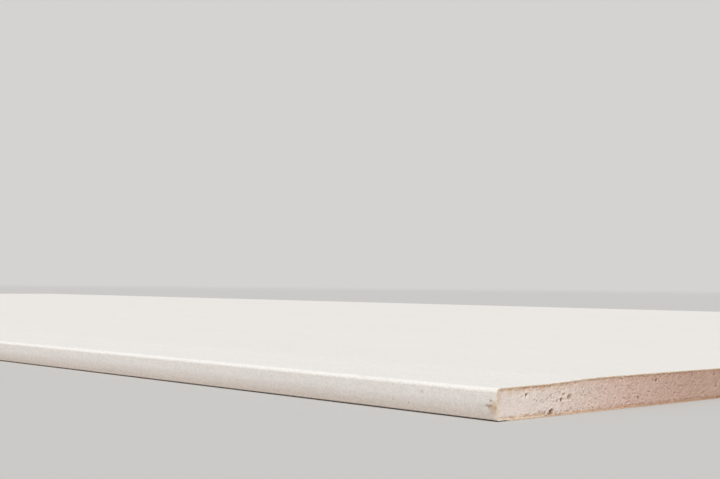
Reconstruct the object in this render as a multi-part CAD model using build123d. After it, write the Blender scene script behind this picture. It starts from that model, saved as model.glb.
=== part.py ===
"""Drywall sheet with tapered long edges, lying flat with its face up.

Three pieces are laminated into one sheet. The gypsum core is cast between two webs of paper. The face paper covers
the top, turns down round both long edges, which are slightly bowed, and returns a short way under the back. The
back paper is flat, and its two sides lap over those returns. Both ends are sawn square, so the core and the papers
show there in section.

The section is drawn in the YZ plane and pulled along X, the length of the sheet. The origin is at the middle of the
underside, with +Z up. Sizes are in millimetres.
"""

from build123d import *

import os

# Overall sizes of the finished sheet
sheet_length = 2500.0
sheet_width = 1200.0
sheet_thickness = 12.5

# Papers
face_paper_thickness = 0.4
back_paper_thickness = 0.35
return_width = 25.0  # of the face paper under the back, from the long edge
back_paper_setback = 6.0  # from the long edge to the side of the back paper

# Tapered margins along both long edges, measured on the finished face
taper_width = 54.0  # from the long edge to the full thickness
ramp_width = 22.0  # the steeper part of the taper, beside the full thickness
ramp_drop = 0.95  # how far the face has come down at the foot of the ramp
edge_drop = 1.25  # how far it has come down at the long edge
ramp_blend_radius = 260.0  # at the head and the foot of the ramp

# Long edges: a flat crest at mid-height, from which the edge falls back above and below
edge_bow = 0.5  # how far the corners lie behind the crest
crest_height = 3.6  # of the crest, before its two borders are blended
crest_blend_radius = 18.0
face_corner_radius = 1.8
fold_corner_radius = 0.5


def wrapped_outline():
    """The section inside the face paper's outer surface: tapered above, flat below, bowed and round at its edges."""
    half_width = sheet_width / 2
    top = sheet_thickness
    edge_top = top - edge_drop
    underside = back_paper_thickness
    crest = (edge_top + underside) / 2
    half_section = [
        (half_width - taper_width, top, ramp_blend_radius),
        (half_width - taper_width + ramp_width, top - ramp_drop, ramp_blend_radius),
        (half_width - edge_bow, edge_top, face_corner_radius),
        (half_width, crest + crest_height / 2, crest_blend_radius),
        (half_width, crest - crest_height / 2, crest_blend_radius),
        (half_width - edge_bow, underside, fold_corner_radius),
    ]
    other_half = [(-y, z, radius) for y, z, radius in reversed(half_section)]
    corners = half_section + other_half
    outline = FilletPolyline(
        *[(y, z) for y, z, _ in corners],
        radius=[radius for _, _, radius in corners],
        close=True,
    )
    return make_face(outline)


def band(width, low, high):
    """A flat rectangle of the section, centred on the sheet, between two heights."""
    return Pos(0, (low + high) / 2) * Rectangle(width, high - low)


def pull(section):
    """The section pulled along the sheet's whole length, half to each side of the middle."""
    return extrude(Plane.YZ * section, amount=sheet_length / 2, both=True)


# The face paper is the skin of the wrapped outline, open between its two returns.
wrapped = wrapped_outline()
inside_wrap = offset(wrapped, amount=-face_paper_thickness, kind=Kind.INTERSECTION)
between_returns = band(
    sheet_width - 2 * return_width,
    back_paper_thickness,
    back_paper_thickness + face_paper_thickness,
)
face_paper = pull(wrapped - inside_wrap - between_returns)

# The core fills the wrap and bears on the back paper between the returns.
gypsum_core = pull(inside_wrap + between_returns)

# The back paper lies flat under the core and laps over the returns.
back_paper = pull(band(sheet_width - 2 * back_paper_setback, 0, back_paper_thickness))

os.makedirs("parts", exist_ok=True)
export_step(gypsum_core, "parts/gypsum_core.step")
export_step(face_paper, "parts/face_paper.step")
export_step(back_paper, "parts/back_paper.step")
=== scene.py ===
"""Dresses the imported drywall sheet, for a close look at one of its corners.

The sheet lies on the floor with its finished face up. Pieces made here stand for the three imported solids:
the gypsum core, sawn bare at both ends; the face paper, folded round both long edges; and the back paper,
lapped over the two returns of the face paper. Torn paper and gypsum crumbs cling along the saw cuts.

X runs along the sheet, Y across it and Z up. Shapes are worked out in millimetres, and are brought to
metres as each piece is finished. Finishes are worked out in metres.
"""

import logging
import math
import random
from collections.abc import Iterator
from dataclasses import dataclass, field
from enum import Enum
from functools import cached_property
from typing import NamedTuple

import bmesh
import bpy
import numpy as np
from mathutils import Matrix, Vector, kdtree, noise


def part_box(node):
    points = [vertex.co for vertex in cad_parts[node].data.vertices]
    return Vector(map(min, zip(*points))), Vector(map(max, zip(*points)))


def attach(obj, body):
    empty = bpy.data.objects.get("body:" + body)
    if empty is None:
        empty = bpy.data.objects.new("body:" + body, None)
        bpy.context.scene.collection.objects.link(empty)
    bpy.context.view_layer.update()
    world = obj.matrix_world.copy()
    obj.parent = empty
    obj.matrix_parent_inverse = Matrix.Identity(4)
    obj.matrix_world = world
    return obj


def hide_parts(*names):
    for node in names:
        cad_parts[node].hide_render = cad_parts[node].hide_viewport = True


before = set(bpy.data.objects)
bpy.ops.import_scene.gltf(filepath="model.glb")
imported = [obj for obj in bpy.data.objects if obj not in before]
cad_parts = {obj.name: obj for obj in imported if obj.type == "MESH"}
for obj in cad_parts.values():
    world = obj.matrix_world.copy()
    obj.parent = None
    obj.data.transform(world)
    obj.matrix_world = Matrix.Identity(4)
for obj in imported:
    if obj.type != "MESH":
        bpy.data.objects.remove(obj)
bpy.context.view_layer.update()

log = logging.getLogger("drywall")

MM = 0.001  # a millimetre, in metres
SMOOTH_LIMIT = math.radians(40)  # faces that meet at a sharper turn aren't shaded smooth
ARC_STEP = math.radians(8)  # the largest turn between two points of an arc

Colour = tuple[float, float, float]
Factors = tuple[float, float, float]  # one for each axis
Span = tuple[float, float]  # from the first value to the second


class End(Enum):
    """The two sawn ends, by the direction of X that they face."""

    RIGHT = 1
    LEFT = -1


class Margin(Enum):
    """The two long edges, by the direction of Y that they face."""

    FRONT = -1
    REAR = 1


class Slot(Enum):
    """The record's material slots."""

    GYPSUM = "gypsum"
    IVORY_PAPER = "ivory_paper"
    BUFF_PAPER = "buff_paper"


class Number:
    """A number that varies over a surface. Python's operators combine it with others through Math nodes."""

    def __init__(self, graph: "Graph", output: bpy.types.NodeSocket) -> None:
        """Wraps one output of a node."""
        self.graph = graph
        self.output = output

    def _math(self, operation: str, *operands: "Number | float") -> "Number":
        """One Math node."""
        return self.graph.node("ShaderNodeMath", {"operation": operation}, dict(enumerate(operands)))

    def __add__(self, other: "Number | float") -> "Number":
        """Adds."""
        return self._math("ADD", self, other)

    def __sub__(self, other: "Number | float") -> "Number":
        """Subtracts."""
        return self._math("SUBTRACT", self, other)

    def __rsub__(self, other: float) -> "Number":
        """Subtracts from a plain number."""
        return self._math("SUBTRACT", other, self)

    def __mul__(self, other: "Number | float") -> "Number":
        """Multiplies."""
        return self._math("MULTIPLY", self, other)

    def __truediv__(self, other: "Number | float") -> "Number":
        """Divides."""
        return self._math("DIVIDE", self, other)

    def __abs__(self) -> "Number":
        """Drops the sign."""
        return self._math("ABSOLUTE", self)

    __radd__ = __add__
    __rmul__ = __mul__

    def most(self, other: "Number | float") -> "Number":
        """The larger of this and another number."""
        return self._math("MAXIMUM", self, other)

    def rise(self, start: float, end: float) -> "Number":
        """A smooth step between two values of this number.

        Args:
            start: Where the step is still 0.
            end: Where it has reached 1. It may be below the start.

        Returns:
            A number from 0 to 1.
        """
        step = self.graph.node(
            "ShaderNodeMapRange",
            {"interpolation_type": "SMOOTHSTEP"},
            {"Value": self, "From Min": min(start, end), "From Max": max(start, end)},
        )
        return step if start < end else 1 - step


class Graph:
    """The nodes of one material or of the world."""

    def __init__(self, owner: bpy.types.Material | bpy.types.World) -> None:
        """Empties the nodes of a material or a world."""
        owner.use_nodes = True
        self.owner = owner
        self.tree = owner.node_tree
        self.tree.nodes.clear()

    @classmethod
    def of_material(cls, name: str) -> "Graph":
        """Starts a new material."""
        return cls(bpy.data.materials.new(name))

    def node(
        self,
        kind: str,
        settings: dict[str, object] | None = None,
        inputs: dict[str | int, object] | None = None,
        output: str | int = 0,
    ) -> Number:
        """Adds a node.

        Args:
            kind: Blender's name for the node's type.
            settings: The node's own properties, which are set first.
            inputs: A value, or what to link, for each input named or numbered.
            output: The name or number of the output wanted.

        Returns:
            The output, wrapped.
        """
        made = self.tree.nodes.new(kind)
        for name, value in (settings or {}).items():
            setattr(made, name, value)
        for key, value in (inputs or {}).items():
            if isinstance(value, Number):
                self.tree.links.new(value.output, made.inputs[key])
            else:
                made.inputs[key].default_value = value
        return Number(self, made.outputs[output])

    def show(self, shader: Number) -> bpy.types.Material | bpy.types.World:
        """Makes a shader the surface of the material or the world, and returns that."""
        owner_kind = "World" if isinstance(self.owner, bpy.types.World) else "Material"
        output = self.tree.nodes.new(f"ShaderNodeOutput{owner_kind}")
        self.tree.links.new(shader.output, output.inputs["Surface"])
        return self.owner

    @cached_property
    def place(self) -> Number:
        """The point on the piece, in metres."""
        return self.node("ShaderNodeTexCoord", output="Object")

    def stretched(self, stretch: Factors | None) -> Number:
        """The point on the piece, with each axis multiplied by a factor where factors are given."""
        if stretch is None:
            return self.place
        return self.node("ShaderNodeVectorMath", {"operation": "MULTIPLY"}, {0: self.place, 1: stretch})

    def split(self, vector: Number) -> tuple[Number, Number, Number]:
        """The X, Y and Z of a vector."""
        first = self.node("ShaderNodeSeparateXYZ", inputs={"Vector": vector})
        outputs = first.output.node.outputs
        return first, Number(self, outputs[1]), Number(self, outputs[2])

    def grain(
        self, size: float, detail: float = 2.0, roughness: float = 0.5, stretch: Factors | None = None
    ) -> Number:
        """Soft noise.

        Args:
            size: The size of its blotches, in metres.
            detail: How many finer layers it has.
            roughness: How strong those are.
            stretch: A factor for each axis. A small one draws the blotches out along it.

        Returns:
            A number about 0.5, mostly between 0.25 and 0.75.
        """
        vector = self.stretched(stretch)
        inputs = {"Vector": vector, "Scale": 1 / size, "Detail": detail, "Roughness": roughness}
        return self.node("ShaderNodeTexNoise", inputs=inputs)

    def cells(self, spacing: float, stretch: Factors | None = None) -> tuple[Number, Number]:
        """Scattered points, about one in each cube as wide as their spacing.

        Args:
            spacing: The distance between them, in metres.
            stretch: A factor for each axis, as for the grain.

        Returns:
            The distance to the nearest, in spacings, and a random number that belongs to it.
        """
        inputs = {"Vector": self.stretched(stretch), "Scale": 1 / spacing}
        distance = self.node("ShaderNodeTexVoronoi", inputs=inputs)
        colour = Number(self, distance.output.node.outputs["Color"])
        return distance, self.split(colour)[0]

    def attribute(self, name: str) -> Number:
        """A number kept on the mesh's points."""
        return self.node("ShaderNodeAttribute", {"attribute_name": name}, output="Fac")

    def ray(self, name: str) -> Number:
        """Whether what looks at the surface is a ray of one kind, by the Light Path node's name for it."""
        return self.node("ShaderNodeLightPath", output=name)

    def colour(self, value: Colour) -> tuple[float, float, float, float]:
        """A plain colour for a socket."""
        return (*value, 1.0)

    def mix(
        self,
        factor: Number | float,
        first: Number | Colour,
        second: Number | Colour,
        blend: str = "MIX",
    ) -> Number:
        """Blends two colours.

        Args:
            factor: 0 gives the first colour and 1 the second.
            first: A colour, or the output of another mix.
            second: The same.
            blend: How they blend, by the Mix node's own name for it.

        Returns:
            The blend.
        """
        sides = [side if isinstance(side, Number) else self.colour(side) for side in (first, second)]
        inputs = {0: factor, 6: sides[0], 7: sides[1]}
        return self.node("ShaderNodeMix", {"data_type": "RGBA", "blend_type": blend}, inputs, output=2)

    def tint(self, factor: Number | float, colour: Number, by: Colour) -> Number:
        """Multiplies a colour by another, as far as the factor says."""
        return self.mix(factor, colour, by, blend="MULTIPLY")

    def brighten(self, colour: Number | Colour, factor: Number) -> Number:
        """A colour multiplied by a number."""
        return self.node("ShaderNodeVectorMath", {"operation": "SCALE"}, {0: colour, "Scale": factor})

    def surface(
        self, colour: Number, roughness: Number, height: Number, specular: float
    ) -> bpy.types.Material:
        """Finishes the material as a matt surface.

        Args:
            colour: The base colour.
            roughness: The roughness.
            height: The relief, in metres.
            specular: The strength of the surface's gloss, where 0.5 is a common plastic's.

        Returns:
            The material.
        """
        inputs = {
            "Base Color": colour,
            "Roughness": roughness,
            "Specular IOR Level": specular,
            "Normal": self.node("ShaderNodeBump", inputs={"Height": height, "Distance": 1.0}),
        }
        return self.show(self.node("ShaderNodeBsdfPrincipled", inputs=inputs))


class Corner(NamedTuple):
    """A corner of an outline in the section, with the radius that rounds it."""

    y: float
    z: float
    radius: float = 0.0


class Point(NamedTuple):
    """A point of the section."""

    y: float
    z: float


def rounded_path(corners: list[Corner]) -> list[Point]:
    """Rounds the inner corners of a path.

    Args:
        corners: The path's corners. The first and the last stay sharp.

    Returns:
        The points of the path.
    """
    path = [Point(corners[0].y, corners[0].z)]
    for before, corner, after in zip(corners, corners[1:], corners[2:]):
        point = Vector((corner.y, corner.z))
        incoming = (point - Vector((before.y, before.z))).normalized()
        outgoing = (Vector((after.y, after.z)) - point).normalized()
        turn = math.atan2(incoming.cross(outgoing), incoming.dot(outgoing))
        start = point - incoming * corner.radius * math.tan(abs(turn) / 2)
        inward = Vector((-incoming.y, incoming.x)) * math.copysign(corner.radius, turn)
        steps = max(1, math.ceil(abs(turn) / ARC_STEP))
        for step in range(steps + 1):
            path.append(Point(*(start + inward - Matrix.Rotation(turn * step / steps, 2) @ inward)))
    path.append(Point(corners[-1].y, corners[-1].z))
    return path


def both_sides(half: list[Point]) -> list[Point]:
    """The line from the rear of the sheet to its front whose rear half is given, from the middle outwards."""
    return [*reversed(half), *(Point(-point.y, point.z) for point in half[1:])]


def graded_places(
    limit: float, first: float, growth: float, even: float = 0.0, largest: float = math.inf
) -> list[float]:
    """Places between two ends, close together near both and wider apart towards the middle.

    Args:
        limit: How far the ends are from the middle, which is at 0.
        first: The first step from an end.
        growth: How much longer each step is than the one before it, as a share.
        even: How far in the steps stay as long as the first.
        largest: The longest step.

    Returns:
        The places, from one end to the other.
    """
    longest_last = 1.5
    offsets = [0.0]
    step = first
    while offsets[-1] + longest_last * step < limit:
        offsets.append(offsets[-1] + step)
        if offsets[-1] > even:
            step = min(step * (1 + growth), largest)
    near_half = [offset - limit for offset in offsets]
    return [*near_half, 0.0, *(-place for place in reversed(near_half))]


def layered_noise(point: Vector, pitch: float, smoothness: float) -> float:
    """Noise about 0 in three layers, by how many of its lumps fill a millimetre and how smooth it is."""
    return noise.fractal(point * pitch, smoothness, 2.0, 3)


@dataclass(frozen=True)
class SheetSection:
    """The section across the sheet, alike on both sides of its middle. Sizes are in millimetres.

    Attributes:
        half_length: From the middle of the sheet to a sawn end.
        half_width: From the middle of the sheet to the crest of a long edge.
        thickness: The whole sheet's.
        face_paper: The face paper's thickness.
        back_paper: The back paper's thickness.
        back_half_width: From the middle of the sheet to a side of the back paper.
        return_width: How far the face paper reaches under the back, from the crest.
        taper_width: The width of the tapered margin.
        ramp_width: The steeper part of it.
        ramp_drop: How far the face has come down at the foot of the ramp.
        ramp_radius: The blend at the head and the foot of the ramp.
        edge_drop: How far the face has come down at the long edge.
        edge_bow: How far the long edge's corners lie behind its crest.
        crest_height: The height of the crest, before its borders are blended.
        crest_radius: The blend of those borders.
        face_corner_radius: The rounding on the face's side of the long edge.
        fold_corner_radius: The rounding on the back's side of it.
    """

    half_length: float
    half_width: float
    thickness: float
    face_paper: float
    back_paper: float
    back_half_width: float
    return_width: float = 25.0
    taper_width: float = 54.0
    ramp_width: float = 22.0
    ramp_drop: float = 0.95
    ramp_radius: float = 260.0
    edge_drop: float = 1.25
    edge_bow: float = 0.5
    crest_height: float = 3.6
    crest_radius: float = 18.0
    face_corner_radius: float = 1.8
    fold_corner_radius: float = 0.5

    @classmethod
    def from_frame(cls) -> "SheetSection":
        """The section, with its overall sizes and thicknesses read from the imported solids."""
        face_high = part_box("face_paper")[1] / MM
        core_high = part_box("gypsum_core")[1] / MM
        back_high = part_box("back_paper")[1] / MM
        return cls(
            half_length=face_high.x,
            half_width=face_high.y,
            thickness=face_high.z,
            face_paper=face_high.z - core_high.z,
            back_paper=back_high.z,
            back_half_width=back_high.y,
        )

    def corners(self, inset: float) -> list[Corner]:
        """The rear half of the wrapped outline: over the face, down the long edge and back under it.

        Args:
            inset: How far inside the face paper's outer surface it lies.

        Returns:
            Its corners, from the middle of the face to the end of the return.
        """
        limit = self.half_width - inset
        top = self.thickness - inset
        edge_top = top - self.edge_drop
        underside = self.back_paper + inset
        crest = (self.thickness - self.edge_drop + self.back_paper) / 2
        ramp_head = self.half_width - self.taper_width
        return [
            Corner(0.0, top),
            Corner(ramp_head, top, self.ramp_radius),
            Corner(ramp_head + self.ramp_width, top - self.ramp_drop, self.ramp_radius),
            Corner(limit - self.edge_bow, edge_top, self.face_corner_radius - inset),
            Corner(limit, crest + self.crest_height / 2, self.crest_radius - inset),
            Corner(limit, crest - self.crest_height / 2, self.crest_radius - inset),
            Corner(limit - self.edge_bow, underside, self.fold_corner_radius - inset),
            Corner(self.half_width - self.return_width, underside),
        ]

    def face_line(self, inset: float) -> list[Point]:
        """The face, from the middle to the long edge, with the corner there left sharp."""
        return rounded_path(self.corners(inset)[:4])

    def edge_line(self, inset: float) -> list[Point]:
        """The long edge, with the rounding above and below it, from the top down."""
        return rounded_path(self.corners(inset)[2:])[1:-1]

    def face_cut(self) -> list[Point]:
        """The face paper's cut edge, at half its thickness, from the rear return to the front one."""
        return both_sides(rounded_path(self.corners(self.face_paper / 2)))

    def back_cut(self) -> list[Point]:
        """The back paper's cut edge, at half its thickness, from the front to the rear."""
        return [Point(side * self.back_half_width, self.back_paper / 2) for side in (-1, 1)]


class Bubbles(NamedTuple):
    """Broken bubbles that only the finish shows, because they are too small or too far in to be shaped.

    Attributes:
        spacing: The distance between them, in metres.
        border: Where one begins and where it is deepest, from its middle, in spacings.
        share: The random numbers from which one begins to show and shows fully.
        shade: How far its bottom is darkened with painted shade.
        depth: How deep it is, in metres.
    """

    spacing: float
    border: Span
    share: Span
    shade: float
    depth: float

    def shown(self, distance: Number, chance: Number) -> Number:
        """Where they are, by the distance to the nearest one's middle and that one's random number."""
        return distance.rise(*self.border) * chance.rise(*self.share)


@dataclass(frozen=True)
class FoamedGypsum:
    """The finish of the core: matt gypsum, dense and pale near the long edges and full of bubbles further in,
    its darkening inwards partly painted shade.

    Its spans are distances from a long edge, in metres.

    Attributes:
        name: The material's name.
        dense: The colour beside a long edge, paler partly as painted light.
        rosy: The colour a little further in, darker partly as painted shade.
        foamed: The colour beyond that, darker still partly as painted shade.
        pit_shade: The colour at the bottom of a broken bubble: painted shade.
        crest: The colour of a border that stands up round one, a painted highlight.
        stain: What the papers' glue and torn fibres tint the gypsum beside them with.
        soak_and_shade: What tints the gypsum in a band under the face: glue that has seeped in deeper, and
            painted shade.
        rosy_and_shade_span: Where the dense colour goes over to the rosy one, as the painted shade sets in.
        foamed_and_shade_span: Where the rosy one goes over to the foamed one, as the painted shade deepens.
        bubbly_span: Where the small bubbles set in.
        blotchy_span: Where the colour becomes more uneven.
        calm_span: Where the bubbles and the blotches become fainter again.
        unshaped_span: Where the core's mesh becomes flat, so that its lumps and pits are left to the finish.
        pores: The common small bubbles.
        rim_inside: The inner border of the pale ring of painted highlight round such a pore, in its spacings.
        rim_outside: The outer one.
        small_pores: The smallest bubbles.
        pits: The larger ones where the mesh is flat.
        lump: How far the lumps there stand out.
        speck: The same of the specks in the gypsum.
        grit: The same of its finest grains.
    """

    name: str = "foamed_gypsum"
    dense: Colour = (0.846, 0.758, 0.702)
    rosy: Colour = (0.708, 0.526, 0.453)
    foamed: Colour = (0.568, 0.396, 0.322)
    pit_shade: Colour = (0.255, 0.126, 0.056)
    crest: Colour = (0.97, 0.90, 0.84)
    stain: Colour = (0.85, 0.73, 0.61)
    soak_and_shade: Colour = (0.91, 0.84, 0.765)
    rosy_and_shade_span: Span = (0.008, 0.079)
    foamed_and_shade_span: Span = (0.05925, 0.125)
    bubbly_span: Span = (0.008, 0.028)
    blotchy_span: Span = (0.008, 0.025)
    calm_span: Span = (0.055, 0.1)
    unshaped_span: Span = (0.12, 0.145)
    pores: Bubbles = Bubbles(0.0012, border=(0.34, 0.16), share=(0.5, 0.62), shade=0.34, depth=0.00012)
    rim_inside: Span = (0.30, 0.42)
    rim_outside: Span = (0.60, 0.45)
    small_pores: Bubbles = Bubbles(0.00055, border=(0.34, 0.2), share=(0.45, 0.6), shade=0.3, depth=0.00008)
    pits: Bubbles = Bubbles(0.0034, border=(0.24, 0.08), share=(0.3, 0.5), shade=0.55, depth=0.0005)
    lump: float = 0.0008
    speck: float = 0.00009
    grit: float = 0.00004

    def material(self, section: SheetSection) -> bpy.types.Material:
        """Makes the finish.

        Args:
            section: The sheet's section.

        Returns:
            The material.
        """
        graph = Graph.of_material(self.name)
        _, y, z = graph.split(graph.place)
        inward = section.half_width * MM - abs(y)
        calm = 1 - 0.5 * inward.rise(*self.calm_span)
        bubbly = (0.2 + 0.8 * inward.rise(*self.bubbly_span)) * calm
        blotchy = (0.16 + 0.14 * inward.rise(*self.blotchy_span)) * calm
        unshaped = inward.rise(*self.unshaped_span)

        # Partly painted light: pale near the long edges and darker further in.
        body = graph.mix(inward.rise(*self.rosy_and_shade_span), self.dense, self.rosy)
        body = graph.mix(inward.rise(*self.foamed_and_shade_span), body, self.foamed)
        blotches = graph.grain(0.0036)
        patches = graph.grain(0.0014)
        specks = graph.grain(0.0009, detail=3, roughness=0.6)
        lumps = graph.grain(0.0026, detail=4, roughness=0.6)
        mottle = (0.34 * (patches - 0.5) + 0.26 * (specks - 0.5)) * (0.3 + 0.7 * bubbly)
        lumpy = (lumps - 0.5) * 0.45 * unshaped
        body = graph.brighten(body, 0.99 + (blotches - 0.5) * blotchy + mottle + lumpy)

        distance, chance = graph.cells(self.pores.spacing)
        pore = self.pores.shown(distance, chance) * bubbly
        # Painted highlight: a pale ring round each pore.
        rim_highlight = distance.rise(*self.rim_inside) * distance.rise(*self.rim_outside)
        rim_highlight = rim_highlight * chance.rise(*self.pores.share) * bubbly * (1 - unshaped)
        small_pore = self.small_pores.shown(*graph.cells(self.small_pores.spacing)) * bubbly
        distance, chance = graph.cells(self.pits.spacing, stretch=(1.0, 0.8, 1.0))
        pit = self.pits.shown(distance + (patches - 0.5) * 0.3, chance) * unshaped
        relief = graph.attribute("relief")
        # Painted highlight: the rings round pores and the raised lips round craters are made paler.
        body = graph.mix((rim_highlight * 0.2).most(relief.rise(-0.01, -0.09) * 0.5), body, self.crest)
        # Painted shade: the bottoms of craters, pores and pits are darkened.
        pit_shade = relief.rise(0.06, 0.85) * 0.94
        for seen, bubbles in ((pore, self.pores), (small_pore, self.small_pores), (pit, self.pits)):
            pit_shade = pit_shade.most(seen * bubbles.shade)

        body = self.glued(graph, body, inward, z)
        # Painted shade in the bubbles and craters.
        body = graph.mix(pit_shade, body, self.pit_shade)
        grit = graph.grain(0.00025, roughness=0.65)
        height = specks * self.speck + grit * self.grit
        height = height - pore * self.pores.depth - small_pore * self.small_pores.depth
        height = height + (lumps * self.lump - pit * self.pits.depth) * unshaped
        return graph.surface(body, 0.86 + 0.1 * specks, height, specular=0.2)

    def glued(self, graph: Graph, body: Number, inward: Number, z: Number) -> Number:
        """Tints the gypsum beside the papers, unevenly and less near the long edges. The band under the face
        is partly painted shade.

        Args:
            graph: The material's nodes.
            body: The gypsum's colour.
            inward: The distance from a long edge.
            z: The height.

        Returns:
            The tinted colour.
        """
        wander = 4.0
        unevenness = graph.grain(0.0021, detail=3, roughness=0.6) - 0.5
        gap = graph.attribute("paper_gap") + unevenness * wander
        below_face = z.rise(0.005, 0.007)
        soak_and_shade = below_face * (1 - 0.55 * inward.rise(0.03, 0.05))
        faded = below_face * inward.rise(0.02, 0.045) * 0.65
        stained = (1 - faded) * (inward.rise(0.0006, 0.0025) * 0.5 + inward.rise(0.006, 0.016) * 0.5)
        # Glue stain and painted shade in a band under the face.
        body = graph.tint(gap.rise(2.8, 1.0) * soak_and_shade, body, self.soak_and_shade)
        return graph.tint(gap.rise(1.2, 0.4) * stained, body, self.stain)


class Mark(NamedTuple):
    """A mark on the front long edge, by its place from the right end and the floor, in metres."""

    along: float
    height: float
    half_length: float
    half_height: float
    tint: Colour


@dataclass(frozen=True)
class FacePaperFinish:
    """The finish of the face paper: smooth matt ivory outside, tan in its inner plies.

    Attributes:
        ivory: The outer ply's colour.
        warm: What its cloudy patches are tinted with.
        inner_ply: The colour of the plies that the saw cut shows.
        fleck_and_crease_shade: What the dark flecks in the pulp, and the crease as painted shade, are tinted
            with.
        lower_edge_shade: What the lower part of the long edges is tinted with: painted shade, darker and
            warmer towards the bottom.
        burr: The colour of the pale, crushed border along the saw cut.
        fleck_spacing: The distance between the flecks.
        edge_span: Where the long edge begins and is fully reached, from its crest.
        lower_shade_span: The heights between which that painted shade sets in.
        crease_height: Where the score line that the edge former left lies.
        crease_span: How far its border and its bottom lie from there.
        highlight_below: The heights between which the painted highlight, a pale stripe below the face, sets
            in.
        highlight_above: The heights between which it ends.
        crushed_span: Where the crushed border begins and is at its strongest, from the saw cut.
        marks: The scuff at the saw cut and the specks beyond it.
    """

    ivory: Colour = (0.779, 0.753, 0.727)
    warm: Colour = (0.95, 0.91, 0.86)
    inner_ply: Colour = (0.82, 0.635, 0.475)
    fleck_and_crease_shade: Colour = (0.62, 0.55, 0.48)
    lower_edge_shade: Colour = (0.90, 0.846, 0.80)
    burr: Colour = (0.84, 0.77, 0.665)
    fleck_spacing: float = 0.0038
    edge_span: Span = (0.0025, 0.0012)
    lower_shade_span: Span = (0.0065, 0.0006)
    crease_height: float = 0.0093
    crease_span: Span = (0.0003, 0.00005)
    highlight_below: Span = (0.0096, 0.0101)
    highlight_above: Span = (0.0113, 0.0106)
    crushed_span: Span = (0.0021, 0.0006)
    marks: tuple[Mark, ...] = (
        Mark(0.0013, 0.0047, 0.0031, 0.0027, (0.84, 0.72, 0.60)),
        Mark(0.0036, 0.0051, 0.0022, 0.0007, (0.68, 0.59, 0.52)),
        Mark(0.0008, 0.0046, 0.0010, 0.0007, (0.88, 0.77, 0.67)),
        Mark(0.0027, 0.0071, 0.0007, 0.0006, (0.62, 0.55, 0.48)),
        Mark(0.0354, 0.0078, 0.0005, 0.0004, (0.72, 0.68, 0.64)),
        Mark(0.0504, 0.0038, 0.0005, 0.0004, (0.75, 0.71, 0.68)),
        Mark(0.0420, 0.0031, 0.0005, 0.0004, (0.78, 0.75, 0.72)),
    )

    def material(self, section: SheetSection) -> bpy.types.Material:
        """Makes the finish.

        Args:
            section: The sheet's section.

        Returns:
            The material.
        """
        graph = Graph.of_material("ivory_face_paper")
        x, y, z = graph.split(graph.place)
        half_width = section.half_width * MM
        from_end = section.half_length * MM - x
        clouds = graph.grain(0.05, detail=4, stretch=(0.12, 1.0, 1.0))
        streaks = graph.grain(0.004, detail=3, stretch=(0.1, 1.0, 1.0))
        fibres = graph.grain(0.0009, detail=3, roughness=0.65, stretch=(0.6, 1.0, 1.0))
        lint = graph.grain(0.00045, detail=3, roughness=0.7, stretch=(0.35, 1.0, 1.0))
        tooth = graph.grain(0.0005, roughness=0.6)

        colour = graph.brighten(self.ivory, 0.56 + 0.08 * streaks + 0.36 * fibres + 0.44 * tooth)
        colour = graph.tint(clouds.rise(0.35, 0.7) * 0.22, colour, self.warm)
        distance, chance = graph.cells(self.fleck_spacing)
        colour = graph.tint(distance.rise(0.075, 0.035) * chance.rise(0.6, 0.75), colour, self.fleck_and_crease_shade)

        on_edge = (half_width - abs(y)).rise(*self.edge_span)
        # Painted shade: the long edges grow darker and warmer towards their bottom.
        colour = graph.tint(z.rise(*self.lower_shade_span) * on_edge, colour, self.lower_edge_shade)
        crease_and_shade = abs(z - self.crease_height).rise(*self.crease_span) * on_edge
        # Painted shade: the crease is darkened along its line, over the groove that the relief gives it.
        colour = graph.tint(crease_and_shade * 0.13, colour, self.fleck_and_crease_shade)
        # Painted highlight: a pale stripe along the lower part of the face's rounding on the long edges.
        fold_highlight = z.rise(*self.highlight_below) * z.rise(*self.highlight_above) * on_edge
        colour = graph.brighten(colour, 1 + 0.06 * fold_highlight)
        from_cut = section.half_length * MM - abs(x)
        crushed = (from_cut + (fibres - 0.5) * 0.004).rise(*self.crushed_span)
        colour = graph.mix(crushed * 0.75, colour, self.burr)

        on_front = y.rise(0.003 - half_width, 0.002 - half_width)
        for mark in self.marks:
            off_along = (from_end - mark.along) / mark.half_length
            off_height = (z - mark.height) / mark.half_height
            spread = off_along * off_along + off_height * off_height
            ragged = spread + (fibres - 0.5) * 1.2 + (lint - 0.5) * 2.4
            colour = graph.tint(ragged.rise(1.1, 0.1) * on_front, colour, mark.tint)

        sawn = (graph.attribute("ply") + (fibres - 0.5) * 0.5).rise(0.15, 0.6)
        colour = graph.mix(sawn, colour, graph.mix(on_edge * 0.7, self.inner_ply, self.burr))
        height = fibres * 0.000024 + tooth * 0.000016 + streaks * 0.00002 - crease_and_shade * 0.00001
        return graph.surface(colour, 0.66 + 0.2 * fibres, height, specular=0.3)


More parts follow.
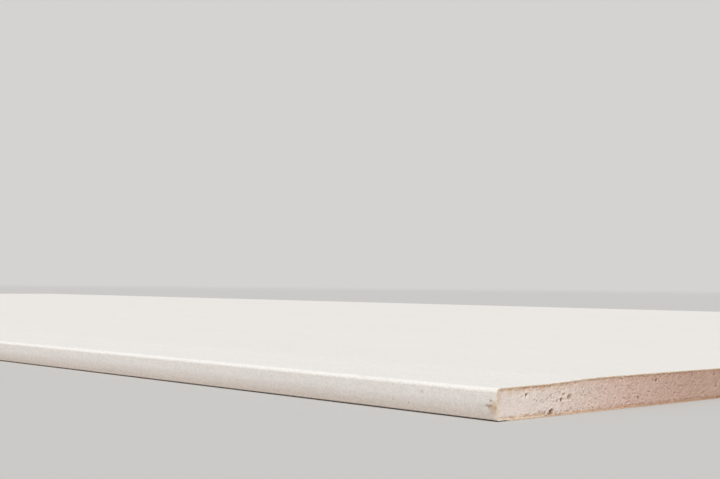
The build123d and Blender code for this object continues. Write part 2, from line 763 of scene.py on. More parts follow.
@dataclass(frozen=True)
class BackPaperFinish:
    """The finish of the back paper: matt buff pulp with pale and dark fibres in it.

    Attributes:
        buff: The pulp's colour.
        pale: The colour of its paler fibres.
        dark: The colour of its darker ones.
        cut: The colour of its sawn border.
        cut_shade_span: Where painted shade darkens that border, from a long edge, in metres.
    """

    buff: Colour = (0.52, 0.415, 0.305)
    pale: Colour = (0.70, 0.60, 0.47)
    dark: Colour = (0.27, 0.20, 0.14)
    cut: Colour = (0.72, 0.505, 0.375)
    cut_shade_span: Span = (0.04, 0.13)

    def material(self, section: SheetSection) -> bpy.types.Material:
        """Makes the finish.

        Args:
            section: The sheet's section.

        Returns:
            The material.
        """
        graph = Graph.of_material("buff_back_paper")
        inward = section.half_width * MM - abs(graph.split(graph.place)[1])
        clouds = graph.grain(0.05, detail=4, stretch=(0.4, 1.0, 1.0))
        fibres_along = graph.grain(0.0009, detail=3, roughness=0.65, stretch=(0.22, 1.0, 1.0))
        fibres_across = graph.grain(0.0011, detail=3, roughness=0.65, stretch=(1.0, 0.3, 1.0))
        fuzz = graph.grain(0.0007)
        colour = graph.brighten(self.buff, 0.82 + 0.36 * clouds)
        colour = graph.mix(fibres_along.rise(0.56, 0.68) * 0.5, colour, self.pale)
        colour = graph.mix(fibres_across.rise(0.60, 0.72) * 0.45, colour, self.dark)
        ply = graph.attribute("ply")
        sawn = (ply + (fuzz - 0.5) * 0.5).rise(0.1, 0.5) * ply.rise(1.0, 0.9)
        # Painted shade: the sawn border darkens further from the long edges.
        cut = graph.brighten(self.cut, 0.67 + 0.8 * fuzz - 0.32 * inward.rise(*self.cut_shade_span))
        colour = graph.mix(sawn, colour, cut)
        height = fibres_along * 0.00006 + fibres_across * 0.00003
        return graph.surface(colour, 0.8 + 0.15 * fibres_along, height, specular=0.2)


@dataclass(frozen=True)
class TornPaperFinish:
    """The finish of torn fibres: pale and fluffy, without the paper's own sheen.

    Attributes:
        name: The material's name.
        slot: The record's material slot that it belongs to.
        pale: The colour of the paler fibres.
        deep: The colour of the darker ones.
    """

    name: str
    slot: Slot
    pale: Colour
    deep: Colour

    def material(self) -> bpy.types.Material:
        """Makes the finish."""
        graph = Graph.of_material(self.name)
        tone = graph.grain(0.0013)
        fuzz = graph.grain(0.0002)
        colour = graph.mix(tone.rise(0.35, 0.65), self.pale, self.deep)
        colour = graph.brighten(colour, 0.85 + 0.3 * fuzz)
        return graph.surface(colour, 0.85 + 0.1 * fuzz, fuzz * 0.00003, specular=0.15)


def to_data(mesh: bmesh.types.BMesh, name: str) -> bpy.types.Mesh:
    """Keeps a bmesh as mesh data, and frees it."""
    data = bpy.data.meshes.new(name)
    mesh.to_mesh(data)
    mesh.free()
    return data


def put_up(name: str, data: bpy.types.ID) -> bpy.types.Object:
    """Puts a mesh, a light or a camera into the scene as an object."""
    made = bpy.data.objects.new(name, data)
    bpy.context.scene.collection.objects.link(made)
    return made


@dataclass
class Piece:
    """What every piece of the sheet shares: it is made as a bmesh in millimetres and rides on the sheet."""

    section: SheetSection

    def finish(
        self, mesh: bmesh.types.BMesh, name: str, material: bpy.types.Material, slot: Slot, *nodes: str
    ) -> bpy.types.Object:
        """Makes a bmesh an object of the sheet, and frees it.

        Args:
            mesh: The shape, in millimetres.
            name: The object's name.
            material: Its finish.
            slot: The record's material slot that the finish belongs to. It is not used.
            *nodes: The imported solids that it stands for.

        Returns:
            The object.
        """
        bmesh.ops.recalc_face_normals(mesh, faces=mesh.faces[:])
        bmesh.ops.scale(mesh, vec=(MM, MM, MM), verts=mesh.verts[:])
        data = to_data(mesh, name)
        data.shade_smooth()
        data.set_sharp_from_angle(angle=SMOOTH_LIMIT)
        data.materials.append(material)
        piece = put_up(name, data)
        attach(piece, "root")
        if nodes:
            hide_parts(*nodes)
        data.calc_loop_triangles()
        low, high = Vector(piece.bound_box[0]) / MM, Vector(piece.bound_box[6]) / MM
        log.info("%s: %d triangles, %s to %s mm", name, len(data.loop_triangles), low[:], high[:])
        return piece


def stamp(mesh: bmesh.types.BMesh, template: bpy.types.Mesh, pose: Matrix) -> None:
    """Adds a placed copy of a template to a bmesh."""
    placed = template.copy()
    placed.transform(pose)
    mesh.from_mesh(placed)
    bpy.data.meshes.remove(placed)


class Crater(NamedTuple):
    """A broken air bubble on the sawn end, by its place from the long edge and the floor."""

    inward: float
    height: float
    radius: float
    depth: float


@dataclass
class GypsumCore(Piece):
    """The core: a long block between the papers, whose two sawn ends are pitted and crumbly.

    Attributes:
        column: The distance between the end's points across the sheet, near a long edge.
        column_growth: How much longer each next distance is further in, as a share.
        fine_width: How far in from a long edge the points stay close together.
        widest_column: The distance between them in the middle of the sheet.
        rows: How many strips the end has from its underside to its top.
        bow_reach: How far in the points still follow the bow of the long edge.
        seed: What the places of the scattered bubbles depend on.
        recess: How far the sawn gypsum lies behind the ends of the papers, on the average.
        least_recess: How far it does at the least.
        pitted_width: How far in from a long edge the broken bubbles are shaped one by one.
        pores_per_area: Small broken bubbles for each square millimetre.
        dense_width: How far in from a long edge the gypsum is denser and its bubbles are shallow.
        flatness: How much wider than high its bubbles are.
        crater_step: How sharply their borders break off.
        drag: The side that the saw broke them deeper on, and how much deeper.
        lip: How far the border of a larger one stands up, as a share of its depth.
        lip_reach: How far that border reaches, as a share of its radius.
        least_lipped: The radius from which they have such a border.
        tilt: The turn of its noise, whose own axes would show on the flat end.
        noise_shift: How far from the middle plane an end reads its noise, so that both differ.
        grain: How far its grain stands out or in.
        chip: How far it is broken back beside the papers.
        chip_reach: How far from a paper it is broken back.
        craters: The larger broken bubbles near the front corner of the right end.
    """

    column: float = 0.3
    column_growth: float = 0.05
    fine_width: float = 125.0
    widest_column: float = 8.0
    rows: int = 42
    bow_reach: float = 3.0
    seed: int = 20
    recess: float = 0.22
    least_recess: float = 0.03
    pitted_width: float = 130.0
    pores_per_area: float = 1.1
    dense_width: float = 18.0
    flatness: float = 1.2
    crater_step: float = 0.02
    drag: Vector = field(default_factory=lambda: Vector((0.0, -0.45, 0.35)))
    lip: float = 0.2
    lip_reach: float = 1.4
    least_lipped: float = 0.45
    tilt: Matrix = field(default_factory=lambda: Matrix.Rotation(0.9, 3, Vector((1.0, 2.0, 3.0))))
    noise_shift: float = 40.0
    grain: float = 0.07
    chip: float = 0.32
    chip_reach: float = 0.35
    craters: tuple[Crater, ...] = (
        Crater(2.8, 10.3, 0.35, 0.35),
        Crater(15.1, 10.3, 0.6, 0.35),
        Crater(15.8, 8.15, 0.75, 0.8),
        Crater(24.1, 5.2, 0.95, 0.2),
        Crater(25.7, 1.25, 0.65, 0.65),
        Crater(28.7, 6.9, 0.5, 0.25),
        Crater(29.0, 10.5, 0.5, 0.4),
        Crater(29.3, 1.4, 1.3, 0.85),
        Crater(34.9, 5.4, 0.75, 1.1),
        Crater(36.5, 7.2, 0.75, 0.45),
        Crater(38.7, 1.3, 0.4, 0.5),
        Crater(39.7, 6.1, 1.2, 0.55),
        Crater(45.8, 7.0, 0.35, 0.35),
        Crater(47.2, 8.9, 0.45, 0.4),
        Crater(48.0, 7.3, 0.35, 0.35),
        Crater(51.3, 7.1, 0.35, 0.35),
        Crater(61.0, 10.05, 0.4, 0.4),
        Crater(81.8, 3.4, 0.75, 0.85),
        Crater(94.0, 9.45, 0.75, 0.8),
    )

    def build(self) -> bpy.types.Object:
        """Makes the core."""
        section = self.section
        mesh = bmesh.new()
        relief = mesh.verts.layers.float.new("relief")
        paper_gap = mesh.verts.layers.float.new("paper_gap")
        limit = section.half_width - section.face_paper
        columns = graded_places(
            limit, self.column, self.column_growth, self.fine_width, self.widest_column
        )
        bmesh.ops.create_grid(mesh, x_segments=len(columns) - 1, y_segments=self.rows, size=0.5)
        self.lay_out(mesh, columns, paper_gap)
        near_end = mesh.verts[:]
        copy = bmesh.ops.duplicate(mesh, geom=mesh.verts[:] + mesh.edges[:] + mesh.faces[:])["geom"]
        far_end = [part for part in copy if isinstance(part, bmesh.types.BMVert)]
        bmesh.ops.translate(mesh, verts=far_end, vec=(-2 * section.half_length, 0, 0))
        bmesh.ops.reverse_faces(mesh, faces=[part for part in copy if isinstance(part, bmesh.types.BMFace)])
        bmesh.ops.bridge_loops(mesh, edges=[edge for edge in mesh.edges if edge.is_boundary])
        for end, verts in ((End.RIGHT, near_end), (End.LEFT, far_end)):
            self.break_bubbles(verts, end, relief)
            self.break_surface(verts, end, relief, paper_gap)
        material = FoamedGypsum().material(section)
        return self.finish(mesh, "foamed_gypsum_core", material, Slot.GYPSUM, "gypsum_core")

    def lay_out(
        self, mesh: bmesh.types.BMesh, columns: list[float], paper_gap: bmesh.types.BMLayerItem
    ) -> None:
        """Moves a unit grid onto the sawn end, inside the papers.

        Args:
            mesh: The grid, from -0.5 to 0.5 in X and Y.
            columns: The places of its columns across the sheet.
            paper_gap: The layer that gets each point's distance from the nearest paper.
        """
        section = self.section
        face_places, face_heights = zip(*section.face_line(section.face_paper))
        edge_places, edge_heights = zip(*reversed(section.edge_line(section.face_paper)))
        limit = section.half_width - section.face_paper
        return_end = section.half_width - section.return_width
        for vert in mesh.verts:
            place = float(np.interp(vert.co.x + 0.5, np.linspace(0, 1, len(columns)), columns))
            across = abs(place)
            top = float(np.interp(across, face_places, face_heights))
            bottom = section.back_paper + (section.face_paper if across > return_end else 0.0)
            height = bottom + (top - bottom) * (vert.co.y + 0.5)
            fall = limit - float(np.interp(height, edge_heights, edge_places))
            inward = limit - across
            bowed = inward + fall * math.exp(-inward / self.bow_reach)
            vert.co = (section.half_length, math.copysign(limit - bowed, place), height)
            vert[paper_gap] = min(bowed - fall, top - height, height - bottom)

    def break_bubbles(
        self, verts: list[bmesh.types.BMVert], end: End, relief: bmesh.types.BMLayerItem
    ) -> None:
        """Works out the relief that the broken bubbles give an end.

        Args:
            verts: The end's points.
            end: Which end it is.
            relief: The layer that gets each point's depth in a bubble, or below 0 its height on the border of
                one, in millimetres.
        """
        tree = kdtree.KDTree(len(verts))
        for index, vert in enumerate(verts):
            tree.insert((0.0, vert.co.y / self.flatness, vert.co.z), index)
        tree.balance()
        for crater in self.scatter(random.Random(self.seed + end.value), end):
            across = (crater.inward - self.section.half_width) / self.flatness
            centre = Vector((0.0, across, crater.height))
            for point, index, distance in tree.find_range(centre, self.lip_reach * crater.radius):
                share = distance / crater.radius
                ragged = 0.25 * noise.noise(point * 2.3 / crater.radius)
                vert = verts[index]
                if share < 1 + ragged:
                    dragged = 1 + self.drag.dot(point - centre) / crater.radius
                    bowl = crater.depth * math.sqrt(max(0.0, 1 - share * share))
                    vert[relief] = max(vert[relief], bowl * dragged + self.crater_step)
                elif crater.radius > self.least_lipped and vert[relief] <= 0:
                    left = max(0.0, 1 - (share - 1) / (self.lip_reach - 1))
                    vert[relief] = -self.lip * crater.depth * left

    def break_surface(
        self,
        verts: list[bmesh.types.BMVert],
        end: End,
        relief: bmesh.types.BMLayerItem,
        paper_gap: bmesh.types.BMLayerItem,
    ) -> None:
        """Breaks a flat end into sawn, foamed gypsum.

        Args:
            verts: The end's points.
            end: Which end it is.
            relief: The layer with each point's depth in a broken bubble.
            paper_gap: The layer with each point's distance from the nearest paper.
        """
        section = self.section
        for vert in verts:
            point = self.tilt @ Vector((end.value * self.noise_shift, vert.co.y, vert.co.z))
            inward = section.half_width - abs(vert.co.y)
            loose = 0.3 + 0.7 * min(1.0, inward / self.dense_width)
            rough = self.grain * max(0.0, min(1.0, 2.0 - inward / self.fine_width))
            coarse = layered_noise(point, pitch=0.35, smoothness=1.0) * rough
            fine = layered_noise(point, pitch=2.2, smoothness=0.8) * rough * loose
            broken = max(0.0, noise.noise(point * 0.8) + 0.15) * self.chip * loose
            beside = math.exp(-vert[paper_gap] / self.chip_reach)
            depth = self.recess + coarse + fine + beside * broken + vert[relief]
            vert.co.x = end.value * (section.half_length - max(self.least_recess, depth))

    def scatter(self, chance: random.Random, end: End) -> list[Crater]:
        """The broken bubbles of one end, near both of its corners.

        Small ones lie everywhere, shallower in the dense gypsum. Others line the papers. A few are larger.

        Args:
            chance: The source of their places and sizes.
            end: Which end they are on.

        Returns:
            The bubbles, with their places measured from the front long edge.
        """
        section = self.section
        height = section.thickness - section.face_paper
        count = int(self.pores_per_area * self.pitted_width * height)
        lining_count = count // 4
        face_places, face_heights = zip(*section.face_line(section.face_paper))
        found = list(self.craters) if end is End.RIGHT else []
        for margin in Margin:
            drawn = []
            for _ in range(count):
                inward = self.pitted_width * chance.random() ** 0.6
                radius = 0.16 + 0.34 * chance.random() ** 3
                depth = radius * chance.uniform(0.25, 0.85) * min(1.0, inward / self.dense_width)
                drawn.append(Crater(inward, chance.uniform(0.9, height - 0.3), radius, depth))
            for _ in range(lining_count):
                inward = self.pitted_width * chance.random()
                radius = chance.uniform(0.15, 0.32)
                under_face = float(np.interp(section.half_width - inward, face_places, face_heights))
                gap = chance.uniform(0.2, 1.0)
                drawn.append(Crater(inward, chance.choice((under_face - gap, 0.5 + gap)), radius, radius))
            large_count = 5 if end is End.RIGHT and margin is Margin.FRONT else 10
            for _ in range(large_count):
                inward = chance.uniform(4.0, self.pitted_width)
                radius = chance.uniform(0.4, 0.85)
                depth = chance.uniform(0.3, 0.6) * radius
                drawn.append(Crater(inward, chance.uniform(1.6, height - 1.4), radius, depth))
            if margin is Margin.REAR:
                drawn = [crater._replace(inward=2 * section.half_width - crater.inward) for crater in drawn]
            found += drawn
        return found


@dataclass
class PaperWeb(Piece):
    """A web of paper: a line across the sheet, pulled along it and given the paper's thickness.

    Attributes:
        spacing: The distance between the line's points near a long edge.
        spacing_growth: How much longer it becomes for each millimetre further in.
        fine_width: How far in from a long edge the points stay close together.
        widest: The distance between them in the middle of the sheet.
        first_station: The first step along the sheet from a sawn end.
        station_growth: How much longer each next step is, as a share.
        rag: How far the sawn ends are torn back at the most.
    """

    spacing: float = 0.5
    spacing_growth: float = 0.03
    fine_width: float = 60.0
    widest: float = 6.0
    first_station: float = 0.25
    station_growth: float = 0.5
    rag: float = 0.28

    def step(self, y: float) -> float:
        """The distance to the next point of a line, from a place across the sheet."""
        beyond = max(0.0, self.section.half_width - y - self.fine_width)
        return min(self.widest, self.spacing + self.spacing_growth * beyond)

    def divided(self, path: list[Point]) -> list[Point]:
        """Adds points to the long runs of a half line, close together near the long edge.

        Args:
            path: The line's own points, from the middle of the sheet outwards.

        Returns:
            All the points.
        """
        points = [path[0]]
        for start, end in zip(path, path[1:]):
            run = math.dist(start, end)
            travelled = self.step(start.y)
            while travelled + 0.5 * self.spacing <= run:
                share = travelled / run
                here = Point(start.y + (end.y - start.y) * share, start.z + (end.z - start.z) * share)
                points.append(here)
                travelled += self.step(here.y)
            points.append(end)
        return points

    def pull(
        self, line: list[Point], thickness: float
    ) -> tuple[bmesh.types.BMesh, bmesh.types.BMLayerItem]:
        """Pulls a line along the sheet and thickens it inwards.

        Args:
            line: The points of the web's outer side, with the inside of the sheet to the right as it runs.
            thickness: The paper's thickness.

        Returns:
            The web, and the layer that is 0 on the outer side and 1 on the inner.
        """
        mesh = bmesh.new()
        ply = mesh.verts.layers.float.new("ply")
        stations = graded_places(self.section.half_length, self.first_station, self.station_growth)
        verts = [mesh.verts.new((stations[0], y, z)) for y, z in line]
        edges = [mesh.edges.new(pair) for pair in zip(verts, verts[1:])]
        for here, there in zip(stations, stations[1:]):
            grown = bmesh.ops.extrude_edge_only(mesh, edges=edges)["geom"]
            moved = [part for part in grown if isinstance(part, bmesh.types.BMVert)]
            edges = [part for part in grown if isinstance(part, bmesh.types.BMEdge)]
            bmesh.ops.translate(mesh, verts=moved, vec=(there - here, 0, 0))
        mesh.normal_update()
        for part in bmesh.ops.solidify(mesh, geom=mesh.faces[:], thickness=-thickness)["geom"]:
            if isinstance(part, bmesh.types.BMVert):
                part[ply] = 1.0
        return mesh, ply

    def tear(self, mesh: bmesh.types.BMesh, ply: bmesh.types.BMLayerItem, seed: float) -> None:
        """Tears the sawn ends back unevenly, the inner side a little more.

        Args:
            mesh: The web.
            ply: The layer that tells its two sides apart.
            seed: What makes this web's tear differ from others.
        """
        limit = self.section.half_length
        at_end = 0.01
        ends_apart, sides_apart = 9, 3
        for vert in mesh.verts:
            if limit - abs(vert.co.x) > at_end:
                continue
            shift = seed + math.copysign(ends_apart, vert.co.x)
            point = Vector((shift, vert.co.y, vert.co.z + sides_apart * vert[ply]))
            torn = 0.5 + 0.5 * layered_noise(point, pitch=1.1, smoothness=0.7)
            back = self.rag * min(1.0, max(0.05, torn)) * (0.7 + 0.3 * vert[ply])
            vert.co.x -= math.copysign(back, vert.co.x)


@dataclass
class FacePaper(PaperWeb):
    """The face paper: over the face, down both long edges and back under them.

    Attributes:
        notch_height: How high on the front edge a flake is missing at the right end.
        notch_half_height: Half the height of that place.
        notch_depth: How far back the paper is torn there.
    """

    notch_height: float = 8.7
    notch_half_height: float = 1.3
    notch_depth: float = 0.3

    def build(self) -> bpy.types.Object:
        """Makes the face paper."""
        half = self.divided(rounded_path(self.section.corners(0.0)))
        mesh, ply = self.pull(both_sides(half), self.section.face_paper)
        self.tear(mesh, ply, seed=3.0)
        self.notch(mesh)
        material = FacePaperFinish().material(self.section)
        return self.finish(mesh, "ivory_face_paper", material, Slot.IVORY_PAPER, "face_paper")

    def notch(self, mesh: bmesh.types.BMesh) -> None:
        """Tears the sawn end further back where the front edge meets the right end."""
        section = self.section
        edge_depth = section.edge_bow + section.face_paper
        for vert in mesh.verts:
            at_cut = section.half_length - vert.co.x < 1.0
            on_edge = section.half_width + vert.co.y < edge_depth
            share = abs(vert.co.z - self.notch_height) / self.notch_half_height
            if at_cut and on_edge and share < 1:
                vert.co.x -= self.notch_depth * (1 - share * share)


@dataclass
class BackPaper(PaperWeb):
    """The back paper: one flat web under the core, lapped over the face paper's returns."""

    def build(self) -> bpy.types.Object:
        """Makes the back paper."""
        half = self.divided([Point(0.0, 0.0), Point(self.section.back_half_width, 0.0)])
        front_to_rear = both_sides(half)[::-1]
        mesh, ply = self.pull(front_to_rear, self.section.back_paper)
        self.tear(mesh, ply, seed=57.0)
        material = BackPaperFinish().material(self.section)
        return self.finish(mesh, "buff_back_paper", material, Slot.BUFF_PAPER, "back_paper")


class FibreShape(NamedTuple):
    """The make of torn fibres: their width, thickness and tip for a length of 1, and their lengths."""

    width: float
    thickness: float
    tip: float
    shortest: float
    longest: float


@dataclass
class TornEdge(Piece):
    """What the saw tore out of a paper's cut edge: fibres and small flakes over the gypsum beside it.

    Attributes:
        route: The paper's cut edge, with the inside of the sheet on its left hand.
        seed: What makes these fibres differ from others.
        paper: The fibres' finish, which also names them.
        near_width: How far in from a long edge they stand close together.
        edge_spacing: The mean distance between them down the long edges.
        near_spacing: The mean distance between them near those.
        far_spacing: The mean distance between them further in.
        flake_share: How many of them are flakes.
        hair: The make of the fibres.
        flake: The make of the flakes.
        bends: How far the differently bent ones turn from root to tip, in radians.
        widest_lean: How far their directions turn from straight into the sheet, in radians.
        flake_lean: How far the flakes' do, as a share of that.
        stand_out: How far their directions turn into the end and out of it.
        root_depth: The least and the greatest depth of a root behind the plane of the end.
    """

    route: list[Point]
    seed: int
    paper: TornPaperFinish
    near_width: float = 140.0
    edge_spacing: float = 0.8
    near_spacing: float = 0.35
    far_spacing: float = 1.6
    flake_share: float = 0.35
    hair: FibreShape = FibreShape(0.06, 0.045, 0.4, 0.3, 1.9)
    flake: FibreShape = FibreShape(0.45, 0.09, 0.5, 0.3, 0.95)
    bends: tuple[float, ...] = (0.2, 0.5, 0.9, 1.3, 1.8, 2.3)
    widest_lean: float = 1.25
    flake_lean: float = 0.7
    stand_out: Span = (-0.12, 0.1)
    root_depth: Span = (0.06, 0.26)

    def build(self) -> bpy.types.Object:
        """Makes the torn fibres of both sawn ends."""
        chance = random.Random(self.seed)
        hairs = [self.bent_fibre(self.hair, bend) for bend in self.bends]
        flakes = [self.bent_fibre(self.flake, bend / 2) for bend in self.bends]
        mesh = bmesh.new()
        for end in End:
            for root, inward in self.roots(chance):
                torn_off = chance.random() < self.flake_share
                template = chance.choice(flakes if torn_off else hairs)
                stamp(mesh, template, self.pose(chance, end, root, inward, torn_off))
        for template in hairs + flakes:
            bpy.data.meshes.remove(template)
        limit = self.section.half_length
        for vert in mesh.verts:
            vert.co.x = max(-limit, min(limit, vert.co.x))
            vert.co.z = max(0.0, vert.co.z)
        return self.finish(mesh, self.paper.name, self.paper.material(), self.paper.slot)

    def bent_fibre(self, make: FibreShape, bend: float) -> bpy.types.Mesh:
        """A fibre with a length of 1, rooted at the origin and bent over on its way up.

        Args:
            make: Its thickness and taper.
            bend: How far it turns from its root to its tip, in radians.

        Returns:
            The mesh.
        """
        mesh = bmesh.new()
        bmesh.ops.create_cone(
            mesh, cap_ends=True, segments=4, radius1=0.5, radius2=0.5 * make.tip, depth=1.0
        )
        bmesh.ops.translate(mesh, verts=mesh.verts[:], vec=(0, 0, 0.5))
        long_edges = [edge for edge in mesh.edges if abs(edge.verts[0].co.z - edge.verts[1].co.z) > 0.5]
        bmesh.ops.subdivide_edges(mesh, edges=long_edges, cuts=2)
        for vert in mesh.verts:
            turned = bend * vert.co.z
            spine = Vector(((1 - math.cos(turned)) / bend, 0.0, math.sin(turned) / bend))
            ring = Vector((vert.co.x * make.width, vert.co.y * make.thickness, 0.0))
            vert.co = spine + Matrix.Rotation(turned, 3, "Y") @ ring
        return to_data(mesh, "bent_fibre")

    def roots(self, chance: random.Random) -> Iterator[tuple[Point, Vector]]:
        """Places along the cut edge.

        Args:
            chance: The source of the distances between them.

        Yields:
            A place, and the direction there from the paper into the sheet, in Y and Z.
        """
        places = np.array(self.route)
        runs = np.concatenate([[0.0], np.cumsum(np.hypot(*np.diff(places, axis=0).T))])
        look_ahead = 0.05
        travelled = chance.expovariate(1 / self.near_spacing)
        while travelled + look_ahead < runs[-1]:
            here, ahead = (
                Point(*(float(np.interp(run, runs, side)) for side in places.T))
                for run in (travelled, travelled + look_ahead)
            )
            yield here, Vector((here.z - ahead.z, ahead.y - here.y)).normalized()
            travelled += chance.expovariate(1 / self.spacing(here))

    def spacing(self, place: Point) -> float:
        """The mean distance between the fibres at a place."""
        from_crest = self.section.half_width - abs(place.y)
        if from_crest < self.section.edge_bow + self.section.face_paper:
            return self.edge_spacing
        return self.near_spacing if from_crest < self.near_width else self.far_spacing

    def pose(
        self, chance: random.Random, end: End, root: Point, inward: Vector, torn_off: bool
    ) -> Matrix:
        """How one fibre is scaled, turned and placed.

        Args:
            chance: The source of its size and direction.
            end: The sawn end that it is on.
            root: Where it starts on the cut edge.
            inward: The direction there from the paper into the sheet, in Y and Z.
            torn_off: Whether it is a flake.

        Returns:
            The transform, in millimetres.
        """
        make = self.flake if torn_off else self.hair
        lean = chance.uniform(-self.widest_lean, self.widest_lean) * (self.flake_lean if torn_off else 1.0)
        direction = Matrix.Rotation(lean, 2) @ inward
        along = Vector((end.value * chance.uniform(*self.stand_out), *direction)).normalized()
        side = along.cross(Vector((1.0, 0.0, 0.0))).normalized()
        if side.yz.dot(inward) < 0:
            side.negate()
        turned = Matrix((side, along.cross(side), along)).transposed().to_4x4()
        back = self.section.half_length - chance.uniform(*self.root_depth)
        length = make.shortest + (make.longest - make.shortest) * chance.random() ** 2
        place = Matrix.Translation((end.value * back, root.y, root.z))
        return place @ turned @ Matrix.Scale(length, 4)


@dataclass
class GypsumCrumbs(Piece):
    """Crumbs of gypsum that cling to the sawn ends.

    Attributes:
        core: The core that they cling to.
        seed: What their places and shapes depend on.
        share: The share of the end's points that carry a crumb.
        smallest: The radius of the smallest.
        largest: The radius of the largest.
        shapes: How many different crumbs there are.
        seat: How far a crumb's middle stands out of the gypsum, as a share of its radius.
    """

    core: bpy.types.Object
    seed: int = 77
    share: float = 0.02
    smallest: float = 0.08
    largest: float = 0.22
    shapes: int = 8
    seat: float = 0.3

    def build(self) -> bpy.types.Object:
        """Makes the crumbs of both sawn ends."""
        chance = random.Random(self.seed)
        templates = [self.crumb(chance) for _ in range(self.shapes)]
        mesh = bmesh.new()
        for vert in self.core.data.vertices:
            if chance.random() < self.share:
                stamp(mesh, chance.choice(templates), self.pose(chance, vert.co / MM))
        for template in templates:
            bpy.data.meshes.remove(template)
        paper_gap = mesh.verts.layers.float.new("paper_gap")
        for vert in mesh.verts:
            vert[paper_gap] = self.section.thickness
        material = FoamedGypsum(name="crumbled_gypsum").material(self.section)
        return self.finish(mesh, "gypsum_crumbs", material, Slot.GYPSUM)

    def crumb(self, chance: random.Random) -> bpy.types.Mesh:
        """One angular crumb with a radius of about 1.

        Args:
            chance: The source of its shape.

        Returns:
            The mesh.
        """
        mesh = bmesh.new()
        bmesh.ops.create_icosphere(mesh, subdivisions=1, radius=1.0)
        squash = Vector((chance.uniform(0.6, 1.0), chance.uniform(0.7, 1.0), 1.0))
        for vert in mesh.verts:
            vert.co = vert.co * squash * chance.uniform(0.72, 1.0)
        return to_data(mesh, "crumb")

    def pose(self, chance: random.Random, seat: Vector) -> Matrix:
        """How one crumb is scaled, turned and placed.

        Args:
            chance: The source of its size and turn.
            seat: The point of the sawn end that it clings to, in millimetres.

        Returns:
            The transform, in millimetres.
        """
        radius = self.smallest + (self.largest - self.smallest) * chance.random() ** 2
        roll = Matrix.Rotation(chance.uniform(0, math.tau), 4, "X")
        swing = Matrix.Rotation(chance.uniform(0, math.pi), 4, "Z")
        reach = min(abs(seat.x) + self.seat * radius, self.section.half_length - radius)
        centre = Vector((math.copysign(reach, seat.x), seat.y, seat.z))
        return Matrix.Translation(centre) @ roll @ swing @ Matrix.Scale(radius, 4)


@dataclass(frozen=True)
class Studio:
    """The floor, the light and the camera's backdrop.

    Attributes:
        key_azimuth: The side that the key light shines from, in degrees from -Y towards +X.
        key_elevation: Its height above the horizon, in degrees.
        key_strength: What it gives to a surface square to it, where 1 shows a colour as it is written.
        key_softness: How wide the key light looks, in degrees.
        key_colour: Its colour.
        sky_strength: The light that comes evenly from everywhere else.
        sky: That light's colour.
        floor_shown: The floor's colour as the camera sees it.
        floor_bounce: The colour of the light that it throws back.
        backdrop: What the camera sees behind.
        floor_radius: How far the floor reaches, in metres.
        floor_sides: How many sides its outline has.
        floor_gap: How far it lies below the sheet, so that their planes don't meet.
        fade_span: Between which distances it fades into the backdrop, in metres.
    """

    key_azimuth: float = 45.0
    key_elevation: float = 45.0
    key_strength: float = 0.78
    key_softness: float = 80.0
    key_colour: Colour = (1.0, 0.985, 0.96)
    sky_strength: float = 0.54
    sky: Colour = (0.98, 1.0, 1.02)
    floor_shown: Colour = (0.55, 0.542, 0.53)
    floor_bounce: Colour = (0.36, 0.31, 0.27)
    backdrop: Colour = (0.66, 0.65, 0.637)
    floor_radius: float = 60.0
    floor_sides: int = 96
    floor_gap: float = 0.00002
    fade_span: Span = (3.0, 14.0)

    def build(self) -> None:
        """Makes the floor, the sky and the key light."""
        mesh = bmesh.new()
        bmesh.ops.create_circle(mesh, cap_ends=True, segments=self.floor_sides, radius=self.floor_radius)
        bmesh.ops.translate(mesh, verts=mesh.verts[:], vec=(0, 0, -self.floor_gap))
        data = to_data(mesh, "floor")
        data.materials.append(self.floor_material())
        floor = put_up("floor", data)
        self.light_sky()
        self.hang_key()

    def floor_material(self) -> bpy.types.Material:
        """A pale floor that fades into the backdrop far away."""
        graph = Graph.of_material("studio_floor")
        seen = graph.ray("Is Camera Ray")
        colour = graph.mix(seen, self.floor_bounce, self.floor_shown)
        matt = graph.node("ShaderNodeBsdfDiffuse", inputs={"Color": colour})
        far = graph.node("ShaderNodeEmission", inputs={"Color": graph.colour(self.backdrop)})
        distance = graph.node(
            "ShaderNodeVectorMath", {"operation": "LENGTH"}, {0: graph.place}, output="Value"
        )
        fade = distance.rise(*self.fade_span) * seen
        return graph.show(graph.node("ShaderNodeMixShader", inputs={0: fade, 1: matt, 2: far}))

    def light_sky(self) -> None:
        """An even sky, which the camera and mirrors see as the backdrop."""
        graph = Graph(bpy.data.worlds.new("studio_sky"))
        rays = ("Is Camera Ray", "Is Glossy Ray", "Is Transmission Ray")
        camera, mirrored, through_glass = (graph.ray(name) for name in rays)
        seen = camera.most(mirrored).most(through_glass)
        sky = {"Color": graph.colour(self.sky), "Strength": self.sky_strength}
        light = graph.node("ShaderNodeBackground", inputs=sky)
        shown = graph.node("ShaderNodeBackground", inputs={"Color": graph.colour(self.backdrop)})
        shader = graph.node("ShaderNodeMixShader", inputs={0: seen, 1: light, 2: shown})
        bpy.context.scene.world = graph.show(shader)

    def hang_key(self) -> None:
        """A wide, soft key light."""
        light = bpy.data.lights.new("key_light", "SUN")
        light.energy = self.key_strength * math.pi
        light.angle = math.radians(self.key_softness)
        light.color = self.key_colour
        azimuth = Matrix.Rotation(math.radians(self.key_azimuth), 4, "Z")
        elevation = Matrix.Rotation(math.radians(90.0 - self.key_elevation), 4, "X")
        put_up("key_light", light).matrix_world = azimuth @ elevation


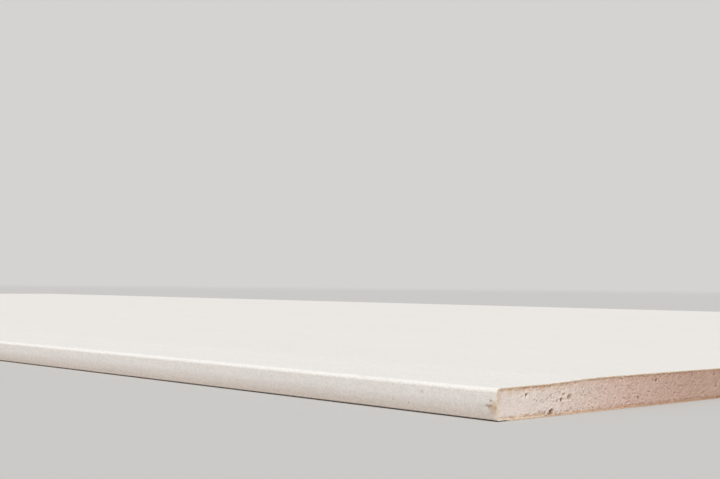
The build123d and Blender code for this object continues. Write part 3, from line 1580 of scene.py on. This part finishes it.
@dataclass(frozen=True)
class CloseCamera:
    """The camera, close to the front corner of the right end and looking a little up past it.

    Attributes:
        from_corner: Its place from that corner at the floor, in millimetres.
        azimuth: The direction that it looks in, in degrees from +Y towards -X.
        pitch: How far it looks up, in degrees.
        roll: How far it is rolled, in degrees.
        lens: Its focal length.
        sensor: The width of its sensor.
        clip: The nearest and the farthest distance that it sees, in metres.
    """

    from_corner: tuple[float, float, float] = (264.97, -302.47, 46.0)
    azimuth: float = 47.841
    pitch: float = 2.131
    roll: float = 0.5646
    lens: float = 59.27
    sensor: float = 36.0
    clip: Span = (0.01, 200.0)

    def place(self, section: SheetSection) -> None:
        """Puts the camera up.

        Args:
            section: The sheet's section.
        """
        data = bpy.data.cameras.new("close_camera")
        data.lens = self.lens
        data.sensor_width = self.sensor
        data.clip_start, data.clip_end = self.clip
        camera = put_up("close_camera", data)
        corner = Vector((section.half_length, -section.half_width, 0.0))
        turn = (
            Matrix.Rotation(math.radians(self.azimuth), 4, "Z")
            @ Matrix.Rotation(math.radians(90.0 + self.pitch), 4, "X")
            @ Matrix.Rotation(math.radians(self.roll), 4, "Z")
        )
        camera.matrix_world = Matrix.Translation((corner + Vector(self.from_corner)) * MM) @ turn
        bpy.context.scene.camera = camera


def main() -> None:
    """Builds the sheet, its floor, light and camera."""
    logging.basicConfig(level=logging.INFO, format="%(message)s")
    bpy.context.scene.view_settings.view_transform = "Standard"
    section = SheetSection.from_frame()
    CloseCamera().place(section)
    Studio().build()
    core = GypsumCore(section).build()
    GypsumCrumbs(section, core).build()
    FacePaper(section).build()
    BackPaper(section).build()
    torn_face = TornPaperFinish("torn_face_paper", Slot.IVORY_PAPER, (0.80, 0.70, 0.56), (0.62, 0.47, 0.34))
    torn_back = TornPaperFinish("torn_back_paper", Slot.BUFF_PAPER, (0.80, 0.63, 0.47), (0.50, 0.35, 0.24))
    TornEdge(section, section.face_cut(), seed=5, paper=torn_face).build()
    TornEdge(section, section.back_cut(), seed=6, paper=torn_back).build()


if __name__ == "__main__":
    main()
